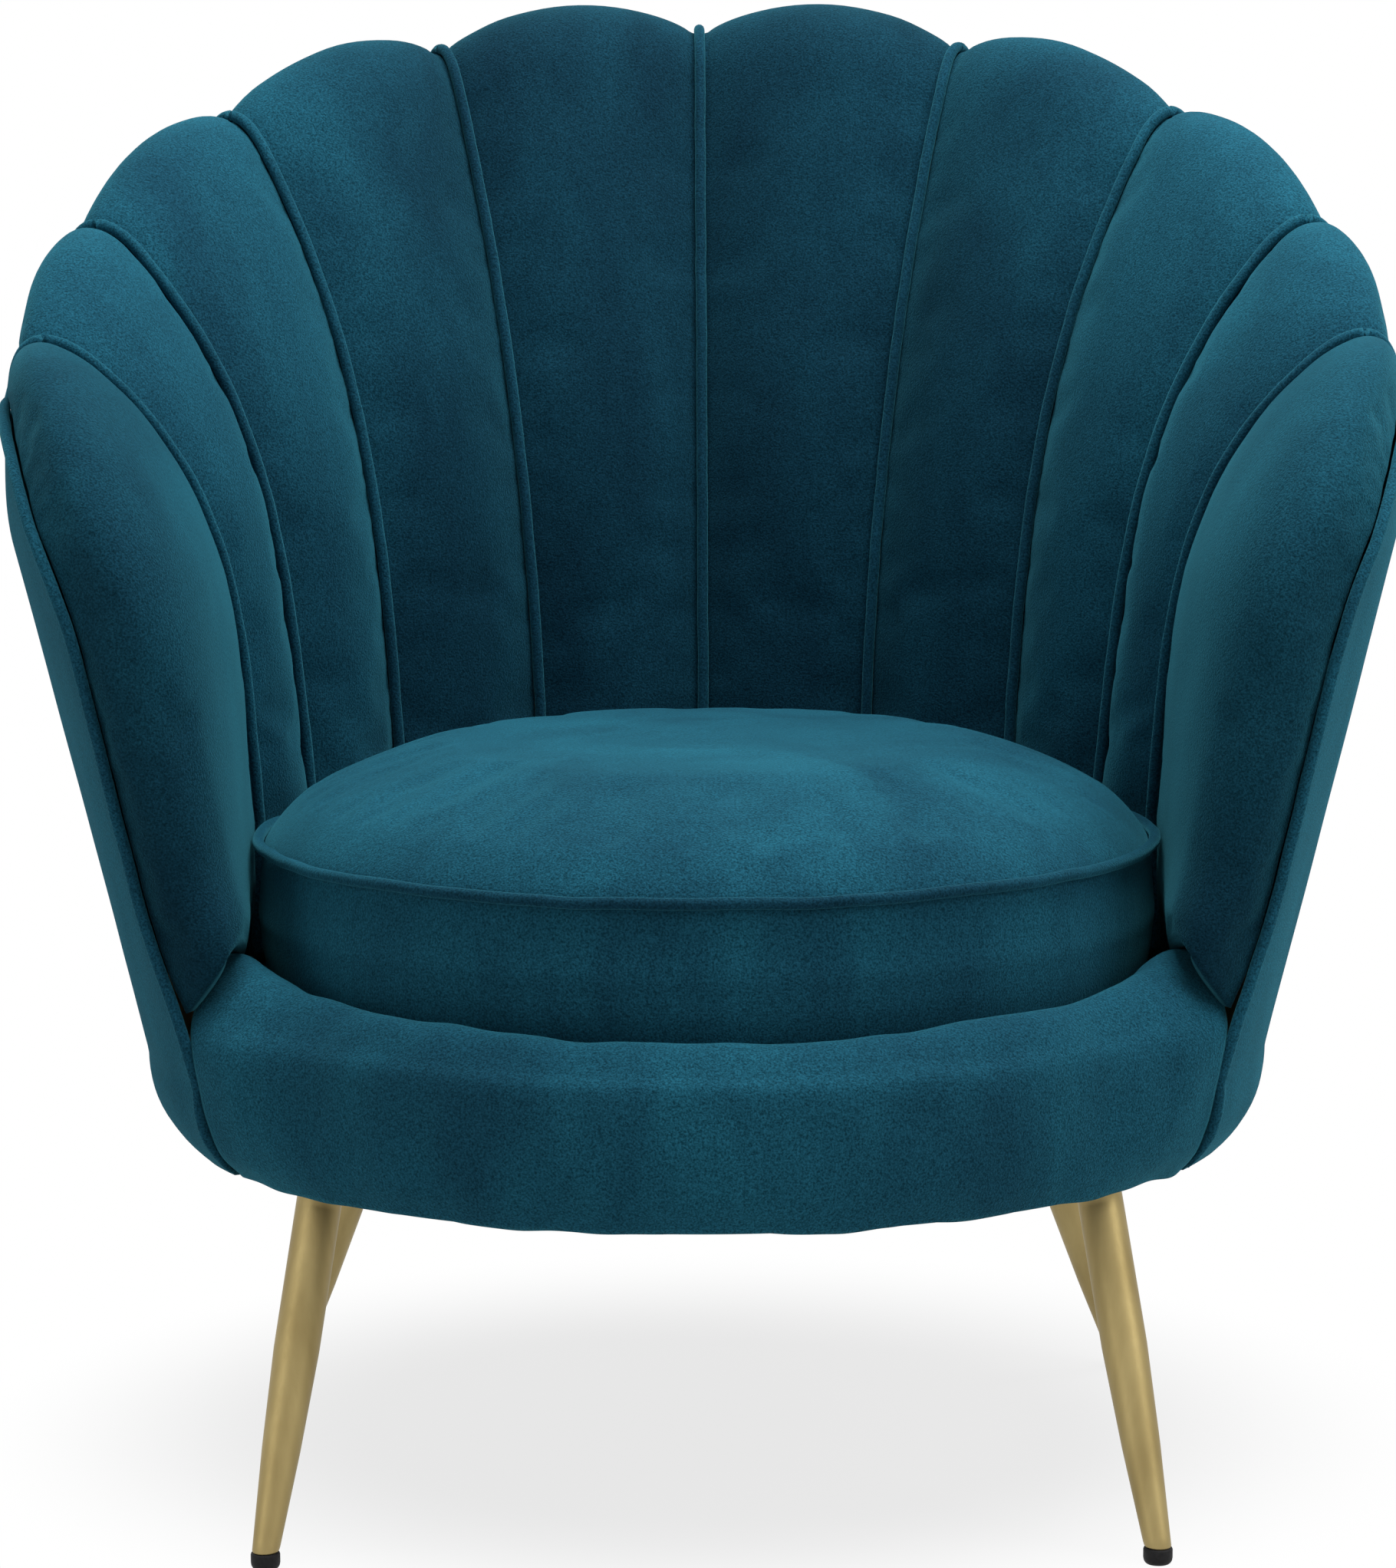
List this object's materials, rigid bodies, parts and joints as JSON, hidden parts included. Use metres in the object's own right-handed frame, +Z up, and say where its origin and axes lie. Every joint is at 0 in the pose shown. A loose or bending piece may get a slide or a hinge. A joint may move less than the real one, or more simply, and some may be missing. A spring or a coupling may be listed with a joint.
{
  "type": "upholstered tub armchair",
  "caption": "Round-backed velvet tub armchair with scalloped channel padding, a loose round seat cushion and slim splayed metal legs.",
  "frame": {"origin": "on the floor, under the middle of the chair's bounding box", "axes": "+Z up, the sitter looks along -Y, +X is towards the arm on the right of the picture"},
  "size_m": [0.8008, 0.7414, 0.8516],
  "materials": {
    "velvet": "matt teal velvet pile",
    "piping": "teal velvet over a cord",
    "foam": "soft upholstery foam",
    "deck_lining": "black lining over felt",
    "webbing": "woven elastic webbing",
    "dust_cloth": "black non-woven cloth",
    "plywood": "raw plywood",
    "hardwood": "raw planed hardwood",
    "fibreboard": "raw fibreboard",
    "brass_finish": "satin brushed brass finish",
    "steel": "zinc plated",
    "rubber": "matt black"
  },
  "bodies": {
    "chair": {"channel_pad_left_1": "velvet", "channel_pad_left_2": "velvet", "channel_pad_left_3": "velvet", "channel_pad_left_4": "velvet", "channel_pad_left_5": "velvet", "channel_pad_right_1": "velvet", "channel_pad_right_2": "velvet", "channel_pad_right_3": "velvet", "channel_pad_right_4": "velvet", "channel_pad_right_5": "velvet", "seam_welt_centre": "piping", "seam_welt_left_1": "piping", "seam_welt_right_1": "piping", "seam_welt_left_2": "piping", "seam_welt_right_2": "piping", "seam_welt_left_3": "piping", "seam_welt_right_3": "piping", "seam_welt_left_4": "piping", "seam_welt_right_4": "piping", "edge_welt": "piping", "outer_cover": "velvet", "base_front_band": "velvet", "lower_frame_ring": "plywood", "seat_frame_ring": "plywood", "dust_cloth": "dust_cloth", "leg_block_front_left": "hardwood", "leg_block_front_right": "hardwood", "leg_block_rear_left": "hardwood", "leg_block_rear_right": "hardwood", "back_board": "fibreboard", "rear_post_left": "hardwood", "rear_post_right": "hardwood", "side_post_left": "hardwood", "side_post_right": "hardwood", "top_rail": "plywood", "mid_rail": "plywood", "arm_front_post_left": "hardwood", "arm_front_post_right": "hardwood", "webbing_across_1": "webbing", "webbing_across_2": "webbing", "webbing_across_3": "webbing", "webbing_lengthwise_1": "webbing", "webbing_lengthwise_2": "webbing", "deck_pad": "deck_lining", "leg_front_left": "brass_finish", "leg_bolt_front_left": "steel", "glide_front_left": "rubber", "leg_front_right": "brass_finish", "leg_bolt_front_right": "steel", "glide_front_right": "rubber", "leg_rear_left": "brass_finish", "leg_bolt_rear_left": "steel", "glide_rear_left": "rubber", "leg_rear_right": "brass_finish", "leg_bolt_rear_right": "steel", "glide_rear_right": "rubber"},
    "seat_cushion": {"cushion_cover": "velvet", "cushion_foam": "foam", "cushion_welt_upper": "piping", "cushion_welt_lower": "piping"}
  },
  "joints": [
    {"name": "cushion_lift", "type": "slide", "parent": "chair", "child": "seat_cushion", "axis": [0, 0, 1], "range_m": [0, 0.57]}
  ]
}
